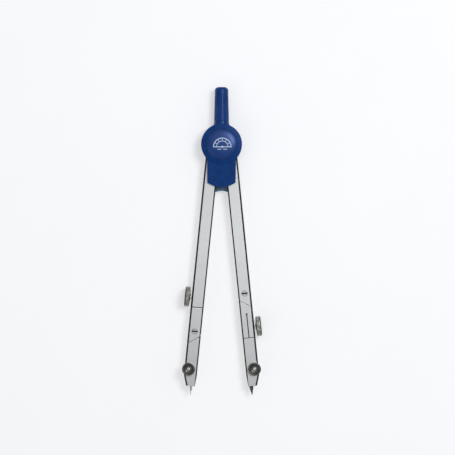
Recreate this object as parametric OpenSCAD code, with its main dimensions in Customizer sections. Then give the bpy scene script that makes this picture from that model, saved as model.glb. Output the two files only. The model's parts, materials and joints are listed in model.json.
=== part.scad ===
// School drawing compass with a geared, self-centring head.
// It lies on its back: +Y runs up the grip, +Z out of the front face and +X to
// the lead leg. The origin is midway between the leg pivots, on the back face.
// A leg is drawn hanging down -Y with its outer side at +X, then turned into
// place. Along a leg, places are distances down from its pivot.

/* [Head] */
// Thickness of the head from its flat back to the crown of the front cap
head_t = 9.6; // [9.6:0.1:10.6]
// Radius of the round part of the head
disc_r = 9.6; // [9.2:0.1:10]
// Radius of the round front cap
front_cap_r = 7.2; // [6.8:0.1:7.4]
// Radius of the round back cap
back_cap_r = 6; // [5.4:0.1:6.2]
// Distance between the two leg pivots
pivot_gap = 7.5; // [7.3:0.1:7.8]
// Half width of the skirt where it leaves the disc
skirt_top_w = 6.9; // [6.5:0.1:7]
// Half width of the skirt at its lower corners
skirt_low_w = 6.6; // [6:0.1:6.6]
// How far below the pivots the skirt reaches
skirt_h = 20.1; // [18:0.1:21]
// Radius of the skirt's curved lower edge
skirt_arc_r = 11.3; // [10:0.1:14]
// Thickness of the dark carrier plate
plate_t = 0.9; // [0.7:0.1:1]

/* [Grip] */
// Height of the grip's crown above the pivots
grip_top = 26.9; // [24:0.1:30]
// Height of the seam below the rounded end cap
grip_seam = 23.2; // [20:0.1:23.5]
// Height of the top of the flared collar
collar_top = 10.8; // [10.4:0.1:11.5]
// Grip radius at the collar
grip_low_r = 3.5; // [3.1:0.05:3.5]
// Grip radius at the end cap
grip_high_r = 3.2; // [2.8:0.05:3.2]
// Number of flutes around the grip
flutes = 20; // [12:1:24]

/* [Legs] */
// Width of a leg bar
leg_w = 6.1; // [5.8:0.1:6.3]
// Thickness of a leg bar
leg_t = 4; // [3.8:0.1:4]
// Angle of each leg from the centre line as it lies
rest_a = 5.75; // [3:0.25:8]
// Width of the polished bevel along a leg's outer front edge
bevel_out = 0.8; // [0.4:0.1:1]
// Width of the polished bevel along a leg's inner front edge
bevel_in = 0.6; // [0.4:0.1:0.8]
// Teeth a whole gear wheel would have
gear_teeth = 15; // [15:1:15]

/* [Knees and sockets] */
// Slant of the shoulder below each knee
shoulder_a = 33; // [28:1:35]
// Needle leg: the end of the socket
left_socket_u = 77; // [76:0.5:78]
// Needle leg: the thumbscrew
left_thumb_u = 72.4; // [71:0.1:73]
// Needle leg: the knee pivot
left_knee_u = 88.3; // [88:0.1:89]
// Needle leg: the middle of the shoulder
left_shoulder_u = 92.2; // [92:0.1:93]
// Lead leg: the knee pivot
right_knee_u = 70.4; // [69:0.1:71]
// Lead leg: the middle of the shoulder
right_shoulder_u = 75.2; // [75:0.1:76]
// Lead leg: the thumbscrew
right_thumb_u = 86.4; // [86:0.1:87]
// Lead leg: the end of the socket
right_socket_u = 91.4; // [91:0.1:92]
// How deep a tongue sits in its socket
tongue_h = 9; // [7:0.5:9.5]
// Radius of a thumbscrew's knurled head
thumb_r = 4.75; // [4.4:0.05:4.75]
// Thickness of a thumbscrew's knurled head
thumb_t = 2.45; // [2:0.05:2.8]

/* [Points] */
// Lower end of both point holders
holder_u = 114; // [113:0.5:116]
// Clamp stud of both point holders
clamp_u = 106.1; // [106:0.1:107]
// How far a clamp stud sits outside the leg's centre line
clamp_v = 1.1; // [1.05:0.05:1.3]
// Radius of a knurled clamp nut
nut_r = 3.1; // [2.6:0.05:3.1]
// Radius of the needle
needle_r = 0.55; // [0.45:0.05:0.6]
// Tip of the needle
needle_tip_u = 118.7; // [117.5:0.1:120]
// Radius of the lead
lead_r = 1; // [0.8:0.1:1]
// Tip of the lead
lead_tip_u = 118.3; // [117.5:0.1:120]
// How far the needle sits inside its leg's centre line
needle_v = 0.9; // [0.85:0.05:1]
// How far the lead sits inside its leg's centre line
lead_v = 1.2; // [0.9:0.05:1.3]

/* [Hidden] */
$fn = 64;

// The two legs, by the side of the head they hang on
left = -1;
right = 1;

// Fits
run = 0.03;  // radial clearance of a turning pin
snug = 0.02; // radial clearance of a pin held still
slide = 0.05; // clearance on each side of a sliding tongue
seam = 0.05; // gap left at a seam that shows as a line

// Heights through the head
mid_z = head_t / 2;
leg_back = mid_z - leg_t / 2;
leg_front = mid_z + leg_t / 2;
washer_t = 0.3;
plate_z = leg_back - washer_t - 0.1 - plate_t;
lid_z = leg_front + 0.4;  // inner face of the front shell
skirt_z = head_t - 1.4;    // front face of the skirt
rim_z = head_t - 1.15;     // where the disc's bevel starts
bevel_z = head_t - 0.85;   // where the disc's bevel meets the cap
cap_seat_z = head_t - 1.2;
cap_power = 4;             // how sharply the cap's dome turns down at its edge
head_seat_z = cap_seat_z - 0.7;

// Head
pivot_x = pivot_gap / 2;
pivot_r = 1.5;
washer_r = 2.8;
screw_head_r = 2.3;
wall_r = disc_r - 1.2;
wall_from = 20;
wall_to = 160;
shell_screw_x = 5.5;
shell_screw_y = 5.6;
shell_boss_r = 1.3;
shell_screw_r = 0.6;
shell_head_r = 1.1;
plate_r = wall_r - 0.1;
plate_top = 4.2;
tail_w = 4.6;
tail_low = skirt_h + 2.3;
arch_r = 6;
arch_h = 0.6;

// Grip
stem_r = 1.5;
stem_low = 5.2;
neck_r = 2.4;
collar_wide_r = 4.1;
flute_r = 0.3;
crown_r = 1.7;

// Gear: both legs carry one size of sector, so the pitch radius is half the gap
pitch_r = pivot_x;
pressure_a = 25;
base_r = pitch_r * cos(pressure_a);
tip_r = pitch_r + 0.4;
root_r = pitch_r - 0.55;
flank_play = 0.03;
flank_steps = 6;
tooth_a = 360 / gear_teeth;

// Knees
cheek_t = 1.2;
tongue_t = leg_t - 2 * cheek_t - 0.1;
knee_tongue_r = 2.9;
knee_pin_r = 0.9;
knee_head_r = 1.45;
knee_head_t = 0.75;
knee_sink = 0.03;

// Sockets
socket_w = 3.1;
socket_t = 2.1;
slit_w = 0.5;
slit_hole_r = 0.45;
slit_u = 80.2;

// Thumbscrews
thumb_pin_r = 0.7;
thumb_gap = 0.8;
thumb_in = leg_w / 2 + thumb_gap;
thumb_teeth = 44;
tip_v = socket_w / 2 + 0.02;

// Point holders
end_out_v = 1.5;
end_in_v = 2.6;
taper_u = 109;
jaw_u = 99;
jaw_w = 0.4;
stud_r = 0.75;
stud_head_r = 1.6;
stud_head_t = 0.8;
nut_t = 2;
nut_teeth = 26;
needle_top_u = 97;
lead_top_u = 97;
bore_top_u = 93.5;

// ---- shared shapes ----

// Hangs its children on one of the two pivots, at the angle the leg lies at
module leg_frame(side) {
    translate([side * pivot_x, 0, 0])
        rotate([0, 0, side * rest_a])
            if (side == left) mirror([1, 0, 0]) children();
            else children();
}

// Stands its children's Z axis along a leg's outward direction, at u down the leg
module across(u) {
    translate([0, -u, mid_z]) rotate([0, 90, 0]) children();
}

// Stands its children's Z axis along the grip
module along_grip() {
    translate([0, 0, mid_z]) rotate([-90, 0, 0]) children();
}

// Lays its children's Z axis down a leg, v outside its centre line, from u
module down_leg(u, v) {
    translate([v, -u, mid_z]) rotate([90, 0, 0]) children();
}

// A stretch of leg bar with its polished front bevels and eased back edges
module bar(from, to) {
    w = leg_w / 2;
    ease = 0.4;
    translate([0, -from, mid_z])
        rotate([90, 0, 0])
            linear_extrude(to - from)
                polygon([
                    [-w + ease, -leg_t / 2], [w - ease, -leg_t / 2],
                    [w, -leg_t / 2 + ease], [w, leg_t / 2 - bevel_out * 0.75],
                    [w - bevel_out, leg_t / 2], [-w + bevel_in, leg_t / 2],
                    [-w, leg_t / 2 - bevel_in * 0.75], [-w, -leg_t / 2 + ease]
                ]);
}

// A knurled disc of radius r and thickness t with rounded rims
module knurled(r, t, teeth, soft) {
    groove_r = PI * r / teeth * 0.62;
    difference() {
        rotate_extrude()
            polygon(concat(
                [[0, 0], [r - soft, 0]],
                [for (a = [-60:30:60]) [r - soft + soft * cos(a), t / 2 + (t / 2 - soft) * sign(a)
                    + soft * sin(a)]],
                [[r - soft, t], [0, t]]
            ));
        for (i = [0:teeth - 1])
            rotate([0, 0, i * 360 / teeth])
                translate([r + groove_r * 0.45, 0, -1])
                    cylinder(r = groove_r, h = t + 2, $fn = 16);
    }
}

// ---- gear ----

function inv(a) = tan(a) * 180 / PI - a;
function half_tooth(r) =
    90 / gear_teeth - flank_play / pitch_r * 180 / PI
    + inv(pressure_a) - inv(acos(min(1, base_r / r)));
function flank(side) = [
    for (i = [0:flank_steps])
        let (r = base_r + (tip_r - base_r) * i / flank_steps)
        r * [cos(half_tooth(r)), side * sin(half_tooth(r))]
];
function reversed(list) = [for (i = [len(list) - 1:-1:0]) list[i]];

// One tooth pointing along +X, with radial roots below the base circle
module tooth() {
    a = half_tooth(base_r);
    foot_r = root_r - 0.4;
    polygon(concat(
        [foot_r * [cos(a), -sin(a)]], flank(-1),
        reversed(flank(1)), [foot_r * [cos(a), sin(a)]]
    ));
}

// The sector faces the other leg, at -X. The first tooth stands at start, counted
// upwards from that direction.
module gear_sector(start) {
    translate([0, 0, leg_back + 0.1])
        linear_extrude(leg_t - 0.2) {
            circle(r = root_r);
            for (i = [0:4]) rotate(180 - start - i * tooth_a) tooth();
        }
}

// ---- knees ----

// The distance from a knee pivot to its shoulder, measured square to the shoulder
function shoulder_r(knee, shoulder) = (shoulder - knee) * cos(shoulder_a);
// How far from the knee pivot the inner end of the shoulder lies
function corner_r(knee, shoulder) =
    norm([leg_w / 2, shoulder - knee - leg_w / 2 * tan(shoulder_a)]);

// All that lies below a shoulder
module below_shoulder(shoulder, gap) {
    translate([0, -shoulder, 0])
        rotate([0, 0, -shoulder_a])
            translate([-15, -60 - gap, 0])
                cube([30, 60, head_t]);
}

// What a fork loses: the leg below its shoulder, the slot for the tongue, and the
// inner corner, rounded so that the shoulder can swing past it
module fork_cut(knee, shoulder) {
    below_shoulder(shoulder, 0);
    slot_r = corner_r(knee, shoulder) + 0.1;
    translate([0, -knee, leg_back + cheek_t]) {
        cylinder(r = slot_r, h = leg_t - 2 * cheek_t);
        translate([-10, -20, 0]) cube([20, 20, leg_t - 2 * cheek_t]);
    }
    translate([0, -knee, 0])
        linear_extrude(head_t)
            difference() {
                polygon([
                    [0, 0], 20 * [-sin(shoulder_a), -cos(shoulder_a)],
                    [-20, -20], [-20, 0]
                ]);
                circle(r = shoulder_r(knee, shoulder) - 0.08);
            }
    translate([0, -knee, 0]) {
        cylinder(r = knee_pin_r + snug, h = head_t);
        translate([0, 0, leg_front - knee_sink - knee_head_t - snug])
            cylinder(r = knee_head_r + snug, h = 2);
    }
}

// The upper end of the piece below a knee: its shoulder, its tongue and its bore
module knee_end(knee, shoulder, to) {
    difference() {
        union() {
            intersection() {
                bar(knee, to);
                below_shoulder(shoulder, seam);
            }
            translate([0, -knee, mid_z - tongue_t / 2]) {
                cylinder(r = knee_tongue_r, h = tongue_t);
                translate([-knee_tongue_r, -(shoulder - knee) - 1, 0])
                    cube([2 * knee_tongue_r, shoulder - knee + 1, tongue_t]);
            }
        }
        translate([0, -knee, 0]) cylinder(r = knee_pin_r + run, h = head_t);
    }
}

// A slotted screw lying flush in the front cheek
module knee_screw(knee) {
    top = leg_front - knee_sink;
    translate([0, -knee, 0])
        difference() {
            union() {
                translate([0, 0, leg_back + knee_sink])
                    cylinder(r = knee_pin_r, h = top - leg_back - 0.1);
                translate([0, 0, top - knee_head_t])
                    cylinder(r = knee_head_r, h = knee_head_t);
            }
            translate([-2, -0.3, top - 0.35]) cube([4, 0.6, 1]);
        }
}

// ---- sockets ----

// What a leg loses for its socket and for its thumbscrew
module socket_cut(end, thumb) {
    depth = tongue_h + 0.6;
    translate([-socket_w / 2, -end - 1, mid_z - socket_t / 2])
        cube([socket_w, depth + 1, socket_t]);
    across(thumb) cylinder(r = thumb_pin_r + run, h = leg_w);
}

// The tongue that slides up into a socket
module socket_tongue(end) {
    w = socket_w / 2 - slide;
    t = socket_t / 2 - slide;
    translate([-w, -end - 1, mid_z - t]) cube([2 * w, tongue_h + 1, 2 * t]);
}

// A knurled head on a pin whose end bears on the tongue
module thumbscrew(thumb) {
    across(thumb) {
        translate([0, 0, tip_v]) cylinder(r = thumb_pin_r, h = thumb_in - tip_v + 0.2);
        translate([0, 0, thumb_in - 0.35]) cylinder(r = 1.5, h = 0.6);
        translate([0, 0, thumb_in]) knurled(thumb_r, thumb_t, thumb_teeth, 0.9);
    }
}

// ---- point holders ----

// Outline of a holder seen from the front, drawn in at its lower end
module holder_outline(top) {
    w = leg_w / 2;
    translate([0, 0, leg_back - 1])
        linear_extrude(leg_t + 2)
            polygon([
                [-w, -top], [w, -top], [w, -taper_u],
                [end_out_v, -holder_u], [-end_in_v, -holder_u], [-w, -taper_u]
            ]);
}

// The front bevel carried on down the drawn-in side of a holder
module taper_bevel() {
    slant = atan((leg_w / 2 - end_out_v) / (holder_u - taper_u));
    translate([leg_w / 2, -taper_u, leg_front])
        rotate([0, 0, -slant])
            translate([0, leg_w / 2, 0])
                rotate([90, 0, 0])
                    linear_extrude(holder_u - taper_u + leg_w)
                        polygon([
                            [-bevel_out, 0], [0, -bevel_out * 0.75],
                            [2, -bevel_out * 0.75], [2, 2], [-bevel_out, 2]
                        ]);
}

// What a holder loses: its front bevel, the bore of its point, the slit between the
// jaws that grip it, and the hole of the stud that draws the jaws together
module holder_cut(r, v) {
    taper_bevel();
    down_leg(bore_top_u, -v) cylinder(r = r + run, h = holder_u - bore_top_u + 1);
    translate([-v, -holder_u - 1, mid_z - jaw_w / 2])
        cube([leg_w, holder_u - jaw_u + 1, jaw_w]);
    translate([clamp_v, -clamp_u, 0]) cylinder(r = stud_r + snug, h = head_t);
}

// A headed stud through both jaws, its end standing in the nut's dished face
module clamp_stud() {
    translate([clamp_v, -clamp_u, 0]) {
        translate([0, 0, leg_back - stud_head_t])
            cylinder(r = stud_head_r, h = stud_head_t - 0.02);
        translate([0, 0, leg_back - 0.1])
            cylinder(r = stud_r, h = leg_t + nut_t - 0.1);
    }
}

// A knurled nut with a dished front face
module clamp_nut() {
    translate([clamp_v, -clamp_u, leg_front + seam])
        difference() {
            knurled(nut_r, nut_t, nut_teeth, 0.35);
            translate([0, 0, -1]) cylinder(r = stud_r + run, h = nut_t + 2);
            translate([0, 0, nut_t - 0.55])
                rotate_extrude()
                    polygon([[0, 0], [1.15, 0], [2.3, 0.56], [0, 0.56]]);
        }
}

// ---- head ----

// Outline of the skirt, drawn in all round by inset
module skirt_outline(inset) {
    arc_y = skirt_arc_r - skirt_h;
    low = skirt_h - 2;
    intersection() {
        polygon([
            [-skirt_top_w + inset, 0], [skirt_top_w - inset, 0],
            [skirt_low_w - inset, -low], [skirt_low_w - inset, -30],
            [-skirt_low_w + inset, -30], [-skirt_low_w + inset, -low]
        ]);
        translate([0, arc_y]) circle(r = skirt_arc_r - inset, $fn = 128);
    }
}

// Outline of the whole head, drawn in all round by inset
module head_outline(inset) {
    circle(r = disc_r - inset, $fn = 128);
    skirt_outline(inset);
}

// The half of the shell walls above the leg plane's middle, up to height top:
// the wall over the gears, the screw bosses and half of the neck
module shell_walls(top) {
    translate([0, 0, mid_z]) {
        linear_extrude(top - mid_z) {
            intersection() {
                difference() {
                    circle(r = disc_r, $fn = 128);
                    circle(r = wall_r, $fn = 128);
                }
                polygon([
                    [0, 0], 15 * [cos(wall_from), sin(wall_from)], [15, 15],
                    [-15, 15], 15 * [cos(wall_to), sin(wall_to)]
                ]);
            }
            for (x = [-shell_screw_x, shell_screw_x])
                translate([x, shell_screw_y]) circle(r = shell_boss_r);
            translate([-neck_r, stem_low - 0.4])
                square([2 * neck_r, wall_r - stem_low + 0.6]);
        }
    }
    intersection() {
        along_grip() translate([0, 0, wall_r]) cylinder(r = neck_r, h = collar_top - wall_r - 0.2);
        translate([-10, 0, mid_z]) cube([20, 20, 10]);
    }
}

module stem_cut() {
    along_grip() translate([0, 0, stem_low - 0.1]) cylinder(r = stem_r + snug, h = 20);
}

module front_shell() {
    color("royalblue")
        difference() {
            union() {
                rotate_extrude($fn = 128)
                    polygon([
                        [0, lid_z], [disc_r, lid_z], [disc_r, rim_z],
                        [front_cap_r + 0.1, bevel_z], [front_cap_r + seam, bevel_z],
                        [front_cap_r + seam, cap_seat_z], [0, cap_seat_z]
                    ]);
                translate([0, 0, lid_z])
                    linear_extrude(skirt_z - lid_z) skirt_outline(0);
                shell_walls(lid_z);
            }
            stem_cut();
            for (x = [-pivot_x, pivot_x])
                translate([x, 0, 0]) {
                    cylinder(r = pivot_r + snug, h = head_t);
                    translate([0, 0, head_seat_z]) cylinder(r = screw_head_r + seam, h = 2);
                }
            for (x = [-shell_screw_x, shell_screw_x])
                translate([x, shell_screw_y, 0])
                    cylinder(r = shell_screw_r + snug, h = lid_z);
        }
}

module back_shell() {
    floor_z = plate_z - seam;
    rim_top = leg_back - 0.5;
    color("royalblue")
        difference() {
            union() {
                linear_extrude(rim_top) head_outline(0);
                translate([0, 0, 2 * mid_z]) mirror([0, 0, 1]) shell_walls(2 * mid_z - floor_z / 2);
            }
            difference() {
                translate([0, 0, floor_z])
                    linear_extrude(rim_top - floor_z + 0.001) {
                        head_outline(0.9);
                        translate([-tail_w - seam, -tail_low]) square([2 * (tail_w + seam), 12]);
                    }
                translate([0, 0, 2 * mid_z]) mirror([0, 0, 1]) shell_walls(2 * mid_z - floor_z / 2);
            }
            translate([0, 0, -1]) cylinder(r = back_cap_r + seam, h = 1.65, $fn = 128);
            stem_cut();
            for (x = [-shell_screw_x, shell_screw_x])
                translate([x, shell_screw_y, 0]) {
                    cylinder(r = shell_screw_r + snug, h = head_t);
                    translate([0, 0, -1]) cylinder(r = shell_head_r + seam, h = 1.85);
                }
        }
}

module front_cap() {
    rise = head_t - bevel_z;
    steps = 12;
    color("royalblue")
        rotate_extrude($fn = 128)
            polygon(concat(
                [[0, cap_seat_z + 0.02], [front_cap_r, cap_seat_z + 0.02]],
                [for (i = [steps:-1:0])
                    [front_cap_r * i / steps, head_t - rise * pow(i / steps, cap_power)]]
            ));
}

module back_cap() {
    color("royalblue") cylinder(r = back_cap_r, h = 0.62, $fn = 128);
}

// The plate both pivots are screwed into. Its arched tail shows between the legs.
module carrier_plate() {
    color("dimgray")
        translate([0, 0, plate_z])
            difference() {
                union() {
                    cylinder(r = plate_r, h = plate_t, $fn = 128);
                    linear_extrude(plate_t) skirt_outline(disc_r - plate_r);
                    translate([-tail_w, -tail_low, 0]) cube([2 * tail_w, 12, plate_t]);
                }
                translate([0, -tail_low - arch_r + arch_h, -1])
                    cylinder(r = arch_r, h = plate_t + 2);
                translate([-disc_r, plate_top, -1]) cube([2 * disc_r, disc_r, plate_t + 2]);
                for (x = [-pivot_x, pivot_x])
                    translate([x, 0, -1]) cylinder(r = pivot_r + snug, h = plate_t + 2);
            }
}

module pivot_screw(side) {
    color("silver")
        translate([side * pivot_x, 0, 0])
            difference() {
                union() {
                    translate([0, 0, plate_z]) cylinder(r = pivot_r, h = head_seat_z - plate_z + 0.1);
                    translate([0, 0, head_seat_z]) cylinder(r = screw_head_r, h = 0.65);
                }
                translate([-3, -0.3, head_seat_z + 0.35]) cube([6, 0.6, 1]);
            }
}

// A friction washer on each face of the gear
module washers(side) {
    color("gold")
        for (z = [plate_z + plate_t + seam, leg_front + seam])
            translate([side * pivot_x, 0, z])
                difference() {
                    cylinder(r = washer_r, h = washer_t);
                    translate([0, 0, -1]) cylinder(r = pivot_r + snug, h = 2);
                }
}

module shell_screws() {
    color("silver")
        for (x = [-shell_screw_x, shell_screw_x])
            translate([x, shell_screw_y, 0])
                difference() {
                    union() {
                        translate([0, 0, 0.15]) cylinder(r = shell_head_r, h = 0.68);
                        translate([0, 0, 0.5]) cylinder(r = shell_screw_r, h = lid_z - 1);
                    }
                    for (a = [0, 90])
                        rotate([0, 0, a]) translate([-0.75, -0.15, 0]) cube([1.5, 0.3, 0.5]);
                }
}

module stem() {
    color("silver")
        along_grip() translate([0, 0, stem_low]) cylinder(r = stem_r, h = grip_seam + 1.6 - stem_low);
}

// The ring that holds the two halves of the neck, saddled on to the disc
module collar() {
    low = disc_r - 1.2;
    step = (collar_top - low) / 6;
    color("royalblue")
        difference() {
            along_grip()
                rotate_extrude()
                    polygon(concat(
                        [[neck_r + seam, collar_top], [neck_r + seam, low]],
                        [for (i = [0:6])
                            [grip_low_r + (collar_wide_r - grip_low_r) * pow(1 - i / 6, 2), low + i * step]]
                    ));
            cylinder(r = disc_r + seam, h = head_t, $fn = 128);
        }
}

module grip() {
    low = collar_top + seam;
    tilt = atan((grip_low_r - grip_high_r) / (grip_seam - low));
    color("royalblue")
        along_grip()
            difference() {
                rotate_extrude()
                    polygon([
                        [stem_r + snug, low], [grip_low_r, low],
                        [grip_high_r, grip_seam], [stem_r + snug, grip_seam]
                    ]);
                for (i = [0:flutes - 1])
                    rotate([0, 0, i * 360 / flutes])
                        translate([grip_low_r + 0.12, 0, low + 0.5])
                            rotate([0, -tilt, 0])
                                cylinder(r = flute_r, h = grip_seam - low - 1, $fn = 20);
            }
}

module grip_cap() {
    low = grip_seam + seam;
    color("royalblue")
        along_grip()
            difference() {
                rotate_extrude()
                    polygon(concat(
                        [[0, low], [grip_high_r, low]],
                        [for (a = [0:15:90])
                            [grip_high_r - crown_r + crown_r * cos(a), grip_top - crown_r + crown_r * sin(a)]],
                        [[0, grip_top]]
                    ));
                cylinder(r = stem_r + snug, h = grip_seam + 1.8);
            }
}

// ---- needle leg ----

module left_leg_bar() {
    color("silver")
        leg_frame(left)
            difference() {
                union() {
                    bar(0, left_socket_u);
                    gear_sector(-tooth_a);
                }
                cylinder(r = pivot_r + run, h = head_t);
                socket_cut(left_socket_u, left_thumb_u);
            }
}

module left_thumbscrew() {
    color("gray") leg_frame(left) thumbscrew(left_thumb_u);
}

module needle_insert() {
    color("silver")
        leg_frame(left)
            difference() {
                union() {
                    bar(left_socket_u + seam, left_shoulder_u + 6);
                    socket_tongue(left_socket_u);
                }
                fork_cut(left_knee_u, left_shoulder_u);
            }
}

module left_knee_screw() {
    color("silver") leg_frame(left) knee_screw(left_knee_u);
}

module needle_holder() {
    color("silver")
        leg_frame(left)
            difference() {
                intersection() {
                    knee_end(left_knee_u, left_shoulder_u, holder_u);
                    holder_outline(left_knee_u - leg_w);
                }
                holder_cut(needle_r, needle_v);
            }
}

module needle_clamp_stud() {
    color("silver") leg_frame(left) clamp_stud();
}

module needle_clamp_nut() {
    color("dimgray") leg_frame(left) clamp_nut();
}

// A shouldered point on a plain shank
module needle() {
    shank = needle_tip_u - needle_top_u - 2.6;
    color("silver")
        leg_frame(left)
            down_leg(needle_top_u, -needle_v)
                rotate_extrude()
                    polygon([
                        [0, 0], [needle_r - 0.1, 0], [needle_r, 0.15], [needle_r, shank],
                        [needle_r - 0.15, shank + 0.2], [0.22, shank + 0.3],
                        [0.16, shank + 1.8], [0, shank + 2.6]
                    ]);
}

// ---- lead leg ----

module right_leg_bar() {
    color("silver")
        leg_frame(right)
            difference() {
                union() {
                    bar(0, right_shoulder_u + 6);
                    gear_sector(-tooth_a / 2);
                }
                cylinder(r = pivot_r + run, h = head_t);
                fork_cut(right_knee_u, right_shoulder_u);
            }
}

module right_knee_screw() {
    color("silver") leg_frame(right) knee_screw(right_knee_u);
}

// The socket below the knee, slit down its front so that it springs on to the tongue
module right_socket() {
    color("silver")
        leg_frame(right)
            difference() {
                knee_end(right_knee_u, right_shoulder_u, right_socket_u);
                socket_cut(right_socket_u, right_thumb_u);
                translate([-slit_w / 2, -right_socket_u - 1, mid_z])
                    cube([slit_w, right_socket_u - slit_u + 1, leg_t]);
                translate([0, -slit_u, mid_z]) cylinder(r = slit_hole_r, h = leg_t);
            }
}

module right_thumbscrew() {
    color("gray") leg_frame(right) thumbscrew(right_thumb_u);
}

module lead_holder() {
    color("silver")
        leg_frame(right)
            difference() {
                union() {
                    intersection() {
                        bar(right_socket_u + seam, holder_u);
                        holder_outline(right_socket_u);
                    }
                    socket_tongue(right_socket_u);
                }
                holder_cut(lead_r, lead_v);
            }
}

module lead_clamp_stud() {
    color("silver") leg_frame(right) clamp_stud();
}

module lead_clamp_nut() {
    color("dimgray") leg_frame(right) clamp_nut();
}

// A stick of lead sharpened to a cone
module lead() {
    cone = 3.9;
    length = lead_tip_u - lead_top_u;
    color("black")
        leg_frame(right)
            down_leg(lead_top_u, -lead_v)
                rotate_extrude()
                    polygon([
                        [0, 0], [lead_r, 0], [lead_r, length - cone],
                        [0.15, length - 0.1], [0, length]
                    ]);
}

front_shell();
back_shell();
front_cap();
back_cap();
carrier_plate();
pivot_screw(left);  // pivot_screw_left
pivot_screw(right);  // pivot_screw_right
washers(left);  // washers_left
washers(right);  // washers_right
shell_screws();
stem();
collar();
grip();
grip_cap();
left_leg_bar();
left_thumbscrew();
needle_insert();
left_knee_screw();
needle_holder();
needle_clamp_stud();
needle_clamp_nut();
needle();
right_leg_bar();
right_knee_screw();
right_socket();
right_thumbscrew();
lead_holder();
lead_clamp_stud();
lead_clamp_nut();
lead();
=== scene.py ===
# Drawing compass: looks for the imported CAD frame. Metres, +Y up the grip, +Z out of the front face.
import bpy
import bmesh
import json
from math import atan2, cos, hypot, pi, radians, sin
from mathutils import Matrix, Vector


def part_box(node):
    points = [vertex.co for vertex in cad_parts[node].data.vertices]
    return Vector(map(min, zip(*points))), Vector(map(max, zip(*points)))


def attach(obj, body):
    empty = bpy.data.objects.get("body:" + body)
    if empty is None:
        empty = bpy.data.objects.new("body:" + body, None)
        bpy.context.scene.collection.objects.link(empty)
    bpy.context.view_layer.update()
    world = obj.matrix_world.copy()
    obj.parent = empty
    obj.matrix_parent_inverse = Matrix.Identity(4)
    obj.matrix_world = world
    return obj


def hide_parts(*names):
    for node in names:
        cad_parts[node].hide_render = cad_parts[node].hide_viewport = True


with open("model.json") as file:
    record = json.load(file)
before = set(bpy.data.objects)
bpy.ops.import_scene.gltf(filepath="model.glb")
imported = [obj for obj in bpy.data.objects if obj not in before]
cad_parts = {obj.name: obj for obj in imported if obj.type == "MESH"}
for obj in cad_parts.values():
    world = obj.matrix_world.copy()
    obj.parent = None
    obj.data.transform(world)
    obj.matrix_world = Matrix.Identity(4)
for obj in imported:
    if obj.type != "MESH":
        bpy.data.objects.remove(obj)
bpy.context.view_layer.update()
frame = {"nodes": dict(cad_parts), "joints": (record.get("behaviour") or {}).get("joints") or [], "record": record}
nodes = frame["nodes"]
joints = {j["name"]: j for j in frame["joints"]}
bodyOf = {n: b for b, members in frame["record"]["behaviour"]["bodies"].items() for n in members}
mm = 0.001
sides = ("left", "right")
points = ("needle", "lead")
legDown = {side: Vector(joints[point + "_insert_slide"]["axis"]) for side, point in zip(sides, points)}
legTurn = {side: atan2(-down.x, -down.y) for side, down in legDown.items()}
print("frame loaded,", len(nodes), "nodes")


class Wire:
    # A value or colour on its way through a material. Operators add Math nodes.
    def __init__(self, paint, socket):
        self.paint = paint
        self.socket = socket

    def math(self, operation, other=None, third=None):
        values = [v for v in (self, other, third) if v is not None]
        return self.paint.add("ShaderNodeMath", {"operation": operation}, dict(enumerate(values)))

    def __add__(self, other):
        return self.math("ADD", other)

    def __mul__(self, other):
        return self.math("MULTIPLY", other)

    def __sub__(self, other):
        return self.math("SUBTRACT", other)

    def __rsub__(self, other):
        return self.paint.add("ShaderNodeMath", {"operation": "SUBTRACT"}, {0: other, 1: self})

    def __pow__(self, other):
        return self.math("POWER", other)

    def __abs__(self):
        return self.math("ABSOLUTE")

    __radd__ = __add__
    __rmul__ = __mul__

    def ramp(self, low, high):
        # A smooth step from 0 to 1 as the value goes from low to high
        return self.paint.add("ShaderNodeMapRange", {"interpolation_type": "SMOOTHSTEP"},
                              {"Value": self, "From Min": low, "From Max": high})

    def part(self, axis):
        return self.paint.add("ShaderNodeSeparateXYZ", {}, {0: self}, axis)


class Paint:
    # One material: its node tree, its Principled shader and the ways to feed it.
    def __init__(self, name, **constants):
        self.material = bpy.data.materials.new(name)
        self.material.use_nodes = True
        self.tree = self.material.node_tree
        self.shader = self.tree.nodes["Principled BSDF"]
        for socket, value in constants.items():
            self.shader.inputs[socket.replace("_", " ")].default_value = value

    def add(self, kind, settings, inputs, output=0):
        node = self.tree.nodes.new(kind)
        for key, value in settings.items():
            setattr(node, key, value)
        for key, value in inputs.items():
            if isinstance(value, Wire):
                self.tree.links.new(value.socket, node.inputs[key])
            else:
                node.inputs[key].default_value = value
        return Wire(self, node.outputs[output])

    def place(self, centre=(0, 0, 0), turn=0.0, stretch=(1, 1, 1)):
        # Object coordinates in millimetres, centred on a point and turned about Z, then stretched
        seat = self.add("ShaderNodeTexCoord", {}, {}, "Object")
        moved = self.add("ShaderNodeVectorMath", {"operation": "SUBTRACT"}, {0: seat, 1: centre})
        turned = self.add("ShaderNodeMapping", {},
                          {"Vector": moved, "Rotation": (0, 0, turn), "Scale": (1 / mm,) * 3})
        return self.add("ShaderNodeMapping", {}, {"Vector": turned, "Scale": stretch})

    def upward(self):
        # How far the surface faces the front: 1 on the front face, 0 on a side and -1 on the back
        return self.add("ShaderNodeTexCoord", {}, {}, "Normal").part(2)

    def noise(self, where, scale, detail, rough=0.5):
        return self.add("ShaderNodeTexNoise", {},
                        {"Vector": where, "Scale": scale, "Detail": detail, "Roughness": rough}, "Fac")

    def mix(self, factor, a, b):
        # Sockets 6 and 7 are the node's two colours, and output 2 its colour result
        return self.add("ShaderNodeMix", {"data_type": "RGBA"}, {"Factor": factor, 6: a, 7: b}, 2)

    def feed(self, **sockets):
        for name, wire in sockets.items():
            self.tree.links.new(wire.socket, self.shader.inputs[name.replace("_", " ")])

    def bump(self, height, strength, distance):
        # The distance is in millimetres
        self.feed(Normal=self.add("ShaderNodeBump", {},
                                  {"Height": height, "Strength": strength, "Distance": distance * mm}))


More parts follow.
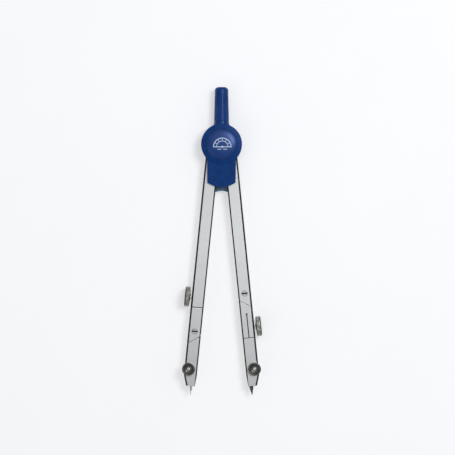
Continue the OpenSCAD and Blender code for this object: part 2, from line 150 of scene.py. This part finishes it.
def rgb(r, g, b):
    # A colour picked on a screen, as linear light
    def linear(c):
        c /= 255
        return c / 12.92 if c <= 0.04045 else ((c + 0.055) / 1.055) ** 2.4
    return (linear(r), linear(g), linear(b), 1.0)


plasticLook = {"colour": (0.0030, 0.041, 0.183, 1.0), "deep": (0.0020, 0.032, 0.145, 1.0),
               "worn": (0.03, 0.085, 0.25, 1.0), "tint": (0.38, 0.48, 0.95, 1.0),
               "cloud": 0.35, "grain": 14.0, "scuff": 1.3, "scuffTurn": 0.5, "scuffStretch": (0.25, 3.2, 1)}
mouldLook = {
    "shell": {"name": "mouldedBlue", "rough": 0.3, "grain": 0.55, "shine": 0.28},
    "cap": {"name": "polishedBlue", "rough": 0.24, "grain": 0.25, "shine": 0.5},
    "grip": {"name": "gripBlue", "rough": 0.3, "grain": 0.5, "shine": 0.5},
}


def bluePlastic(paint, at):
    # Slow clouds of tone, the fine grain of the mould, and the colour that the clouds give
    cloud = paint.noise(at, plasticLook["cloud"], 4)
    grain = paint.noise(at, plasticLook["grain"], 2, 0.6)
    return cloud, grain, paint.mix(cloud.ramp(0.3, 0.7), plasticLook["deep"], plasticLook["colour"])


def mouldedBlue(look):
    paint = Paint(look["name"], Specular_IOR_Level=look["shine"], Specular_Tint=plasticLook["tint"])
    cloud, grain, colour = bluePlastic(paint, paint.place())
    scratched = paint.place(turn=plasticLook["scuffTurn"], stretch=plasticLook["scuffStretch"])
    scuff = paint.noise(scratched, plasticLook["scuff"], 5, 0.7).ramp(0.64, 0.78)
    paint.feed(Base_Color=paint.mix(scuff * 0.12, colour, plasticLook["worn"]),
               Roughness=look["rough"] + cloud * 0.06 + scuff * 0.14 + grain * 0.04)
    paint.bump(grain * look["grain"] + scuff * 0.05, 0.35, 0.05)
    return paint.material


markLook = {"ink": rgb(205, 219, 235), "centre": (0.35, -1.35), "outer": 4.1, "inner": 2.7, "dot": 0.5,
            "tickAngle": 30, "tickMid": 3.4, "tickHalf": 0.5,
            "dashDrop": 1.1, "dashMid": 1.35, "dashHalf": 0.9,
            "soft": 0.06, "rough": 0.3, "shine": 0.95, "fading": 3.2}
markLine = {"outer": 0.21, "inner": 0.147, "tick": 0.147, "rule": 0.189, "dash": 0.168}   # half widths


def printedBlue(name):
    # The cap's own plastic with a plain printed device, a small protractor scale over two dashes
    look = markLook
    paint = Paint(name, Specular_IOR_Level=look["shine"], Specular_Tint=plasticLook["tint"])
    at = paint.place(centre=(look["centre"][0] * mm, look["centre"][1] * mm, 0))
    x = at.part(0)
    y = at.part(1)
    far = (x * x + y * y) ** 0.5

    def within(value, half):
        return 1 - value.ramp(half - look["soft"], half + look["soft"])

    outer = within(abs(far - look["outer"]), markLine["outer"])
    inner = within(abs(far - look["inner"]), markLine["inner"])
    angle = y.math("ARCTAN2", x) * (180 / pi)
    offTick = abs(angle.math("WRAP", look["tickAngle"] / 2, -look["tickAngle"] / 2)) * far * (pi / 180)
    ticks = within(offTick, markLine["tick"]) * within(abs(far - look["tickMid"]), look["tickHalf"])
    rule = within(abs(y), markLine["rule"]) * within(abs(x), look["outer"] + markLine["outer"])
    dot = within(far, look["dot"])
    dashes = within(abs(y + look["dashDrop"]), markLine["dash"])
    dashes = dashes * within(abs(abs(x) - look["dashMid"]), look["dashHalf"])
    scale = y.ramp(-0.1, 0.0) * (outer + inner + ticks)
    whole = (scale + rule + dot + dashes).math("MINIMUM", 1.0)
    ink = whole * (0.7 + paint.noise(at, look["fading"], 5, 0.7).ramp(0.3, 0.45) * 0.3)
    cloud, grain, colour = bluePlastic(paint, at)
    paint.feed(Base_Color=paint.mix(ink, colour, look["ink"]),
               Roughness=look["rough"] + cloud * 0.05 + ink * 0.1)
    paint.bump(grain * 0.25 + ink * 0.8, 0.3, 0.02)
    return paint.material


# Painted shade along each leg: the top colour darkens the face near the pivot, and the low-shade colour darkens it
# towards the point
nickelLook = {"face": (0.77, 0.77, 0.75, 1.0), "warm": (0.72, 0.71, 0.715, 1.0),
              "top": (0.55, 0.55, 0.535, 1.0), "speck": (0.40, 0.39, 0.38, 1.0),
              # Painted shade: these colours darken sideways faces, the bevels (also the seam joints) and the flats
              # sunk below the front face
              "side": (0.42, 0.42, 0.41, 1.0), "edge": (0.065, 0.065, 0.07, 1.0),
              "inside": (0.17, 0.17, 0.175, 1.0),
              "brush": (5.5, 0.16, 5.5), "depth": 0.15, "rough": 0.27,
              "lowShadeEnd": (-110.0, -60.0), "topShadeEnd": (-50.0, -15.0)}   # millimetres up from the pivot


def satinNickel(name, side):
    # Plated bars, brushed along the leg, with painted shade on the bevels, on faces turned sideways, on flats sunk
    # below the front face and along the leg; at the seams the bevel colour is also the dark joint between pieces
    look = nickelLook
    paint = Paint(name, Metallic=1.0)
    pivot = joints[side + "_leg_swing"]["pos_m"]
    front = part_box(side + "_leg_bar")[1].z / mm
    at = paint.place(pivot, legTurn[side])
    brushed = paint.noise(paint.place(pivot, legTurn[side], look["brush"]), 2.2, 6, 0.65)
    cloud = paint.noise(at, 0.22, 5, 0.6)
    speck = paint.noise(at, 5.5, 3, 0.6).ramp(0.66, 0.78)
    # Masks for painted shade: bevels, sideways faces and flats sunk below the front face
    up = paint.upward()
    flat = up.ramp(0.93, 0.985)
    bevel = up.ramp(0.3, 0.45) * (1 - flat)
    sideShade = 1 - abs(up).ramp(0.3, 0.6)
    inside = (1 - paint.place().part(2).ramp(front - 2 * look["depth"], front - look["depth"])) * flat
    # Painted shade: darker towards the point, and darker again near the pivot
    plate = paint.mix(at.part(1).ramp(*look["lowShadeEnd"]) * 0.8 + cloud * 0.2, look["warm"], look["face"])
    plate = paint.mix(at.part(1).ramp(*look["topShadeEnd"]) * 0.5, plate, look["top"])
    plate = paint.mix(speck * 0.16, plate, look["speck"])
    plate = paint.mix(sideShade, plate, look["side"])
    plate = paint.mix(inside, plate, look["inside"])
    paint.feed(Base_Color=paint.mix(bevel, plate, look["edge"]),
               Roughness=look["rough"] + brushed * 0.12 + cloud * 0.06)
    paint.bump(brushed * 0.35 + speck * 0.1, 0.22, 0.03)
    return paint.material


def turnedMetal(name, look, centre, axis):
    # Lathe-turned metal: fine rings round its axis, dark shoulders (painted shade on a thumbscrew, its own
    # blackened finish on a nut), a bright middle, bright knurl crests with flecks of painted glint
    paint = Paint(name, Metallic=1.0)
    at = paint.place(centre)
    along = paint.add("ShaderNodeVectorMath", {"operation": "DOT_PRODUCT"}, {0: at, 1: axis}, "Value")
    size = paint.add("ShaderNodeVectorMath", {"operation": "LENGTH"}, {0: at}, "Value")
    far = (size * size - along * along).math("MAXIMUM", 0.0) ** 0.5
    rings = (far * look["rings"]).math("SINE")
    grime = paint.noise(at, 1.4, 5, 0.65)
    # Flecks of painted glint on the knurl crests
    glintFleck = paint.noise(at, 0.85, 3).ramp(0.42, 0.58)
    crest = far.ramp(look["crest"] - 0.1, look["crest"]) * (0.55 + glintFleck * 0.45)
    middle = 1 - far.ramp(look["middle"], look["middle"] + 0.2)
    body = paint.mix(grime, look["dark"], look["body"])
    paint.feed(Base_Color=paint.mix((crest + middle).math("MINIMUM", 1.0), body, look["bright"]),
               Roughness=look["rough"] + grime * 0.12 + rings * 0.02)
    paint.bump(rings * 0.25 + grime * 0.2, 0.2, 0.02)
    return paint.material


steelLook = {
    "steel": {"name": "brightSteel", "colour": (0.74, 0.74, 0.71), "rough": 0.3, "grain": 3.0},
    "knee": {"name": "kneeSteel", "colour": (0.60, 0.60, 0.58), "rough": 0.34, "grain": 3.0, "slot": 0.1},
    "needle": {"name": "needleSteel", "colour": (0.72, 0.72, 0.71), "rough": 0.16, "grain": 6.0},
    "brass": {"name": "washerBrass", "colour": (0.62, 0.45, 0.2), "rough": 0.3, "grain": 3.0},
}
# Painted shade: the grime colour blackens the knee screws' slots and heads below their tops
slotShadeLook = {"grime": (0.03, 0.03, 0.03, 1.0), "fade": 0.12}


def plainMetal(look):
    # Bright metal. A screw with a slot is painted black from that far below its head's top: painted shade in the
    # slot and round the head.
    paint = Paint(look["name"], Metallic=1.0)
    at = paint.place()
    grain = paint.noise(at, look["grain"], 5, 0.6)
    dull = tuple(c * 0.78 for c in look["colour"])
    tone = paint.mix(grain.ramp(0.3, 0.75), dull + (1.0,), look["colour"] + (1.0,))
    if "slot" in look:
        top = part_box("left_knee_screw")[1].z / mm - look["slot"]
        tone = paint.mix(1 - at.part(2).ramp(top - slotShadeLook["fade"], top), tone, slotShadeLook["grime"])
    paint.feed(Base_Color=tone, Roughness=look["rough"] + grain * 0.12)
    paint.bump(grain, 0.12, 0.02)
    return paint.material


# Painted shade: a slate sheet set between the legs under the head, its colour standing in for the shade there
shadeSlateLook = {"dark": rgb(98, 130, 160), "pale": rgb(118, 148, 178),
             "grain": 6.0, "rough": 0.5, "shine": 0.35}


def shadeSlatePlate(name):
    paint = Paint(name, Specular_IOR_Level=shadeSlateLook["shine"])
    grain = paint.noise(paint.place(), shadeSlateLook["grain"], 4, 0.6)
    paint.feed(Base_Color=paint.mix(grain, shadeSlateLook["dark"], shadeSlateLook["pale"]),
               Roughness=shadeSlateLook["rough"] + grain * 0.15)
    paint.bump(grain, 0.25, 0.03)
    return paint.material


leadLook = {"dark": (0.035, 0.036, 0.04, 1.0), "pale": (0.11, 0.11, 0.12, 1.0), "streak": (4, 0.5, 4),
            "grain": 9.0, "metal": 0.35, "rough": 0.38}


def graphite(name):
    # Pressed graphite: dark, faintly shining, streaked along the stick
    paint = Paint(name, Metallic=leadLook["metal"])
    streak = paint.noise(paint.place(turn=legTurn["right"], stretch=leadLook["streak"]), 2.6, 5, 0.7)
    grain = paint.noise(paint.place(), leadLook["grain"], 3, 0.6)
    paint.feed(Base_Color=paint.mix(streak, leadLook["dark"], leadLook["pale"]),
               Roughness=leadLook["rough"] + grain * 0.2)
    paint.bump(streak * 0.6 + grain * 0.4, 0.3, 0.03)
    return paint.material


finishes = {key: mouldedBlue(look) for key, look in mouldLook.items()}
finishes.update({key: plainMetal(look) for key, look in steelLook.items()})
finishes.update({side: satinNickel(side + "Nickel", side) for side in sides})
finishes["print"] = printedBlue("printedBlue")
finishes["slate"] = shadeSlatePlate("slate")
finishes["graphite"] = graphite("graphite")
print("materials:", len(finishes))


def finish(piece, node, material, weigh=True):
    # Hands a finished piece its place on the body of the CAD node it stands for
    for polygon in piece.data.polygons:
        polygon.use_smooth = True
    piece.data.materials.clear()
    piece.data.materials.append(material)
    if weigh:
        even = piece.modifiers.new("even", "WEIGHTED_NORMAL")
        even.keep_sharp = True
    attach(piece, bodyOf[node])
    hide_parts(node)


def newPiece(name, bm):
    mesh = bpy.data.meshes.new(name)
    bm.to_mesh(mesh)
    bm.free()
    piece = bpy.data.objects.new(name, mesh)
    bpy.context.scene.collection.objects.link(piece)
    return piece


def camel(node):
    # The name of the piece that stands for a CAD node
    first, *others = node.split("_")
    return first + "".join(word.capitalize() for word in others)


def roundEdges(bm, edges, width, segments):
    bmesh.ops.bevel(bm, geom=edges, offset=width, offset_type="OFFSET", segments=segments, profile=0.5,
                    affect="EDGES", clamp_overlap=True, material=-1)


# A seam's end face points along the leg by a cosine between least and most: first square seams, then slanted
seamKinds = [{"least": 0.95, "most": 1.01, "width": 0.3}, {"least": 0.7, "most": 0.95, "width": 0.17}]
seamShape = {"front": 0.95, "upright": 0.2, "length": 1.5, "segments": 3}


def seamEdges(bm, down, least, most):
    # Edges where a piece's front face meets an end that butts against the next piece
    picked = []
    for edge in bm.edges:
        if len(edge.link_faces) != 2 or edge.calc_length() <= seamShape["length"]:
            continue
        end, front = sorted((face.normal for face in edge.link_faces), key=lambda normal: normal.z)
        if front.z > seamShape["front"] and abs(end.z) < seamShape["upright"]:
            if least < abs(end.dot(down)) < most:
                picked.append(edge)
    return picked


easeShape = {"merge": 0.002, "flat": 0.6, "sharp": 28}   # millimetres, then two angles between faces


def eased(node, name, material, width, segments=2, sharp=easeShape["sharp"], down=None):
    # A merged copy of a CAD node with its sharp edges rounded off, and its seams first where down is given
    bm = bmesh.new()
    bm.from_mesh(nodes[node].data)
    bmesh.ops.scale(bm, vec=(1 / mm,) * 3, verts=bm.verts)
    bmesh.ops.remove_doubles(bm, verts=bm.verts, dist=easeShape["merge"])
    bmesh.ops.dissolve_limit(bm, angle_limit=radians(easeShape["flat"]), verts=bm.verts, edges=bm.edges)
    if down:
        for kind in seamKinds:
            seams = seamEdges(bm, down, kind["least"], kind["most"])
            roundEdges(bm, seams, kind["width"], seamShape["segments"])
    hard = [e for e in bm.edges if len(e.link_faces) == 2 and e.calc_face_angle() > radians(sharp)]
    roundEdges(bm, hard, width, segments)
    bmesh.ops.scale(bm, vec=(mm,) * 3, verts=bm.verts)
    finish(newPiece(name, bm), node, material)


def lathe(profile, steps):
    # Spins (radius, height) points round Z, and merges ends that lie on the axis or on each other
    bm = bmesh.new()
    corners = [bm.verts.new((radius, 0, height)) for radius, height in profile]
    for a, b in zip(corners, corners[1:]):
        bm.edges.new((a, b))
    bmesh.ops.spin(bm, geom=bm.verts[:] + bm.edges[:], cent=(0, 0, 0), axis=(0, 0, 1), angle=2 * pi,
                   steps=steps, use_merge=True)
    bmesh.ops.remove_doubles(bm, verts=bm.verts, dist=0.0005)
    bmesh.ops.recalc_face_normals(bm, faces=bm.faces)
    return bm


def arc(radius, height, size, start, end, count):
    # A round stretch of a profile about the point (radius, height). An angle of 0 points straight outwards.
    turns = [radians(start + (end - start) * i / count) for i in range(count + 1)]
    return [(radius + size * cos(turn), height + size * sin(turn)) for turn in turns]


def seatOf(joint, back):
    # A matrix whose Z runs along the joint's axis, from a point back millimetres behind the joint's place
    axis = Vector(joint["axis"]).normalized()
    turn = axis.to_track_quat("Z", "Y").to_matrix().to_4x4()
    return Matrix.Translation(Vector(joint["pos_m"]) - axis * back * mm) @ turn


headEdges = {"frontShell": 0.32, "backShell": 0.25, "shellSteps": 3, "backCap": 0.12, "plate": 0.1,
             "collar": 0.12, "grip": 0.05, "gripSharp": 24, "gripCap": 0.08,
             "pivot": 0.08, "washer": 0.05, "screw": 0.06, "stem": 0.1}


def makeHead():
    edge = headEdges
    eased("front_shell", "frontShell", finishes["shell"], edge["frontShell"], edge["shellSteps"])
    eased("back_shell", "backShell", finishes["shell"], edge["backShell"], edge["shellSteps"])
    eased("back_cap", "backCap", finishes["cap"], edge["backCap"])
    # Painted shade: the slate plate stands for the shade between the legs under the head
    eased("carrier_plate", "shadeCarrierPlate", finishes["slate"], edge["plate"])
    eased("collar", "collar", finishes["cap"], edge["collar"])
    eased("grip", "grip", finishes["grip"], edge["grip"], sharp=edge["gripSharp"])
    eased("grip_cap", "gripCap", finishes["grip"], edge["gripCap"])
    for side in sides:
        eased("pivot_screw_" + side, "pivotScrew." + side, finishes["steel"], edge["pivot"])
        eased("washers_" + side, "washers." + side, finishes["brass"], edge["washer"], 1)
    eased("shell_screws", "shellScrews", finishes["steel"], edge["screw"])
    eased("stem", "stem", finishes["steel"], edge["stem"])
    makeCap()
    print("head made")


capShape = {"radius": 7.2, "rise": 0.85, "power": 4, "rings": 24, "steps": 120, "lip": 0.04}


def makeCap():
    # The domed cap: nearly flat in the middle, turning down faster towards its rim
    shape = capShape
    low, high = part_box("front_cap")
    foot, top = low.z / mm, high.z / mm
    radius, rings, lip = shape["radius"], shape["rings"], shape["lip"]
    rim = top - shape["rise"]
    dome = [(radius * i / rings, top - shape["rise"] * (i / rings) ** shape["power"]) for i in range(rings)]
    edge = [(radius - lip, rim + lip / 2), (radius, rim - lip), (radius, foot), (0, foot)]
    bm = lathe(dome + edge, shape["steps"])
    bmesh.ops.scale(bm, vec=(mm,) * 3, verts=bm.verts)
    finish(newPiece("frontCap", bm), "front_cap", finishes["print"])


knurlShape = {"from": 0.72, "fade": 0.35, "power": 4, "columns": 4}


def knurl(bm, shape, low, high):
    # Pulls the columns between two teeth inwards, fading out at the knurl's two heights
    for v in bm.verts:
        far = hypot(v.co.x, v.co.y)
        if far < shape["radius"] * knurlShape["from"]:
            continue
        turn = (Vector((v.co.x, v.co.y)).angle_signed(Vector((1, 0))) / (2 * pi) * shape["teeth"]) % 1.0
        groove = abs(turn - 0.5) * 2
        fade = max(0.0, min(1.0, (v.co.z - low) / knurlShape["fade"], (high - v.co.z) / knurlShape["fade"]))
        deep = (far / shape["radius"]) ** knurlShape["power"] / shape["radius"]
        keep = 1 - shape["depth"] * groove * fade * deep
        v.co.x *= keep
        v.co.y *= keep


def makeKnurled(name, node, joint, shape, look, profile, low, high):
    # A knurled turning: its profile spun, its rim cut, and the whole set on its joint
    bm = lathe(profile, shape["teeth"] * knurlShape["columns"])
    knurl(bm, shape, low, high)
    bmesh.ops.scale(bm, vec=(mm,) * 3, verts=bm.verts)
    bmesh.ops.transform(bm, matrix=seatOf(joint, shape["inner"]), verts=bm.verts)
    axis = Vector(joint["axis"]).normalized()
    metal = turnedMetal(camel(node) + "Metal", look, joint["pos_m"], axis)
    finish(newPiece(name, bm), node, metal, weigh=False)


thumbShape = {"radius": 4.75, "thick": 2.45, "inner": 1.15, "soft": 0.85, "teeth": 48, "depth": 0.25,
              "rim": 1.35, "behind": 0.12, "slope": 0.25, "dish": 0.14, "dishSlope": 0.2,
              "dimple": 1.05, "dimpleDeep": 0.3, "boss": 1.5, "bossHigh": 0.35, "ease": 0.12,
              "pin": 0.7, "reach": 2.28, "thread": 0.1, "turns": 9, "taper": 0.15, "neck": 0.08}
# Painted shade: the thumbscrew's body and dark colours darken its shoulders and faces; its bright crests carry
# flecks of painted glint
thumbLook = {"crest": 4.69, "middle": 1.6, "rough": 0.22, "rings": 34.0,
             "bright": (1.0, 0.98, 0.92, 1.0), "body": (0.12, 0.117, 0.11, 1.0),
             "dark": (0.035, 0.035, 0.034, 1.0)}


def makeThumbscrew(side):
    shape = thumbShape
    radius, thick, soft = shape["radius"], shape["thick"], shape["soft"]
    pin, reach, boss, bossHigh = shape["pin"], shape["reach"], shape["boss"], shape["bossHigh"]
    rim, behind, half = radius - shape["rim"], shape["behind"], soft / 2
    dish = thick - shape["dish"]
    pitch = (reach - bossHigh) / shape["turns"]
    thread = []
    for i in range(shape["turns"]):
        root = i * pitch - reach
        thread += [(pin - shape["thread"], root), (pin, root + pitch / 2)]
    profile = ([(0, -reach - 0.02), (pin - shape["taper"], -reach - 0.02)]
               + thread
               + [(pin - shape["neck"], -bossHigh - 0.01), (boss - shape["ease"], -bossHigh),
                  (boss, shape["ease"] - bossHigh - 0.01), (boss, 0.0),
                  (rim - shape["slope"], 0.0), (rim, behind), (radius - soft * 0.6, behind)]
               + arc(radius - half, behind + half, half, -90, 0, 5)
               + [(radius, thick / 2)]
               + arc(radius - soft, thick - soft, soft, 0, 90, 7)
               + [(rim, thick), (rim - shape["dishSlope"], dish), (shape["dimple"] + shape["slope"], dish),
                  (shape["dimple"], thick - shape["dimpleDeep"]), (0, thick - shape["dimpleDeep"])])
    makeKnurled("thumbscrew." + side, side + "_thumbscrew", joints[side + "_thumbscrew_turn"],
                shape, thumbLook, profile, 0.15, thick - 0.2)


nutShape = {"radius": 3.1, "thick": 2.0, "inner": 0.95, "soft": 0.35, "teeth": 30, "depth": 0.22,
            "behind": 0.2, "bore": 0.79, "boreEase": 0.05,
            "dish": 2.25, "lip": 0.12, "floor": 1.15, "deep": 0.55}
# The nut's dark body is its own blackened finish; its bright crest flecks are partly painted glints
nutLook = {"crest": 3.05, "middle": 0.0, "rough": 0.26, "rings": 34.0,
           "bright": (0.5, 0.5, 0.45, 1.0), "body": (0.21, 0.21, 0.19, 1.0),
           "dark": (0.05, 0.05, 0.045, 1.0)}


def makeNut(point):
    shape = nutShape
    radius, thick, soft = shape["radius"], shape["thick"], shape["soft"]
    bore, ease, lip = shape["bore"], shape["boreEase"], shape["lip"]
    floor = thick - shape["deep"]
    profile = ([(bore, floor + ease), (bore, 0.0), (radius - soft - shape["behind"], 0.0)]
               + arc(radius - soft, soft, soft, -60, 0, 4)
               + [(radius, thick / 2)]
               + arc(radius - soft, thick - soft, soft, 0, 90, 5)
               + arc(shape["dish"] + 0.1, thick - lip, lip, 90, 200, 3)
               + [(shape["floor"] + 0.2, floor + 0.04), (shape["floor"], floor), (bore + ease, floor),
                  (bore, floor + ease)])
    makeKnurled("clampNut." + point, point + "_clamp_nut", joints[point + "_clamp_turn"],
                shape, nutLook, profile, 0.1, thick - 0.1)


legEdges = {"bar": 0.09, "knee": 0.07, "stud": 0.16, "studSteps": 3, "needle": 0.03, "lead": 0.04}
legPieces = {
    "left": ("left_leg_bar", "needle_insert", "needle_holder"),
    "right": ("right_leg_bar", "right_socket", "lead_holder"),
}


def makeLegs():
    edge = legEdges
    for side, members in legPieces.items():
        for node in members:
            eased(node, camel(node), finishes[side], edge["bar"], down=legDown[side])
    for side in sides:
        eased(side + "_knee_screw", "kneeScrew." + side, finishes["knee"], edge["knee"])
    for point in points:
        stud = point + "_clamp_stud"
        eased(stud, "clampStud." + point, finishes["steel"], edge["stud"], edge["studSteps"])
        makeNut(point)
    for side in sides:
        makeThumbscrew(side)
    eased("needle", "needle", finishes["needle"], edge["needle"], 1)
    eased("lead", "lead", finishes["graphite"], edge["lead"], 1)
    print("legs made")


floorLook = {"pale": rgb(216, 216, 217), "dull": rgb(212, 212, 213), "cloud": 0.02, "half": 1.6,
             "rough": 0.85, "shine": 0.1, "glow": (1, 0.99, 0.985, 1), "glowStrength": 0.44}


def makeFloor():
    bm = bmesh.new()
    bmesh.ops.create_grid(bm, x_segments=2, y_segments=2, size=floorLook["half"])
    floor = newPiece("floor", bm)
    paint = Paint("paperWhite", Roughness=floorLook["rough"], Specular_IOR_Level=floorLook["shine"],
                  Emission_Color=floorLook["glow"], Emission_Strength=floorLook["glowStrength"])
    cloud = paint.noise(paint.place(), floorLook["cloud"], 2)
    paint.feed(Base_Color=paint.mix(cloud, floorLook["dull"], floorLook["pale"]))
    floor.data.materials.append(paint.material)


lights = {
    "key": {"place": (0.35, 0.22, 0.85), "aim": (0, -0.02, 0), "size": (0.34, 0.34), "power": 3.3,
            "colour": (0.94, 0.97, 1)},
    "ceiling": {"place": (0.05, 0.5, 1.25), "aim": (0.05, 0.5, 0), "size": (1.1, 0.96), "power": 1.8,
                "colour": (0.97, 0.985, 1)},
    "fill": {"place": (-0.5, -0.4, 0.6), "aim": (0, -0.05, 0), "size": (0.5, 0.5), "power": 0.35,
             "colour": (1, 1, 1)},
}
sky = {"colour": (0.92, 0.95, 1.0, 1), "strength": 0.38}


def makeLights():
    for name, look in lights.items():
        light = bpy.data.lights.new(name, "AREA")
        light.shape = "RECTANGLE"
        light.size, light.size_y = look["size"]
        light.energy = look["power"]
        light.color = look["colour"]
        lamp = bpy.data.objects.new(name, light)
        lamp.location = look["place"]
        lamp.rotation_mode = "QUATERNION"
        lamp.rotation_quaternion = (Vector(look["aim"]) - Vector(look["place"])).to_track_quat("-Z", "Y")
        bpy.context.scene.collection.objects.link(lamp)
    world = bpy.data.worlds.new("studio")
    world.use_nodes = True
    world.node_tree.nodes["Background"].inputs["Color"].default_value = sky["colour"]
    world.node_tree.nodes["Background"].inputs["Strength"].default_value = sky["strength"]
    bpy.context.scene.world = world


cameraLook = {"centre": (2.8, -39.1), "view": 213.9, "lens": 170.0, "sensor": 36.0, "clip": (0.01, 10)}


def makeCamera():
    # Straight above the compass, as far off as makes the legs' own height view millimetres wide
    look = cameraLook
    camera = bpy.data.cameras.new("camera")
    camera.lens = look["lens"]
    camera.sensor_width = look["sensor"]
    camera.clip_start, camera.clip_end = look["clip"]
    legHeight = joints["left_leg_swing"]["pos_m"][2]
    distance = look["view"] * mm * look["lens"] / look["sensor"]
    seat = bpy.data.objects.new("camera", camera)
    seat.location = (look["centre"][0] * mm, look["centre"][1] * mm, legHeight + distance)
    bpy.context.scene.collection.objects.link(seat)
    bpy.context.scene.camera = seat
    bpy.context.scene.view_settings.view_transform = "Standard"


makeHead()
makeLegs()
makeFloor()
makeLights()
makeCamera()
print("stage set")
